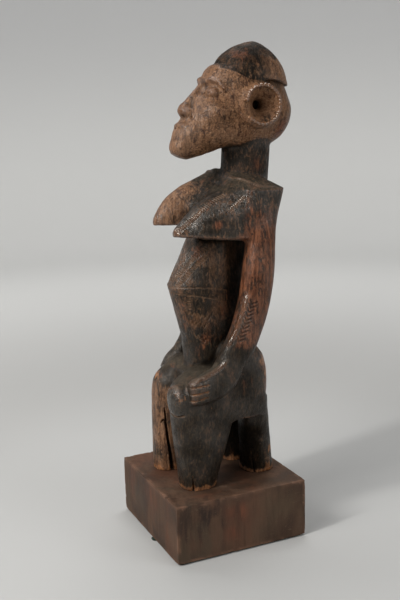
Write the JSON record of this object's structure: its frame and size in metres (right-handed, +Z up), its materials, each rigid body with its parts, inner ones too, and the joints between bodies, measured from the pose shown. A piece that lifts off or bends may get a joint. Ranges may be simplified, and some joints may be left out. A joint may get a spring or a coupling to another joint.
{
  "type": "carved ancestor figure",
  "caption": "Seated carved wooden ancestor figure, hands on its knees, carved in one piece with its stool and held by screws on a square display block.",
  "frame": {"origin": "centre of the underside of the display block, on the ground", "axes": "+Z up; the figure faces -Y and its left side is +X"},
  "size_m": [0.144, 0.1642, 0.4853],
  "materials": {
    "carved_wood": "dark brown-black patina, rubbed to a gloss on the ridges and worn to reddish brown on the arms, face and post feet",
    "block_wood": "matt dark reddish-brown stain over fine straight grain",
    "felt": "dark green wool felt",
    "screw_steel": "bright zinc-plated steel",
    "washer_steel": "plain steel"
  },
  "bodies": {
    "root": {"carved_figure": "carved_wood", "display_block": "block_wood", "felt_sheet": "felt", "screw_front_left": "screw_steel", "screw_front_right": "screw_steel", "screw_rear_left": "screw_steel", "screw_rear_right": "screw_steel", "washer_front_left": "washer_steel", "washer_front_right": "washer_steel", "washer_rear_left": "washer_steel", "washer_rear_right": "washer_steel"}
  },
  "joints": []
}
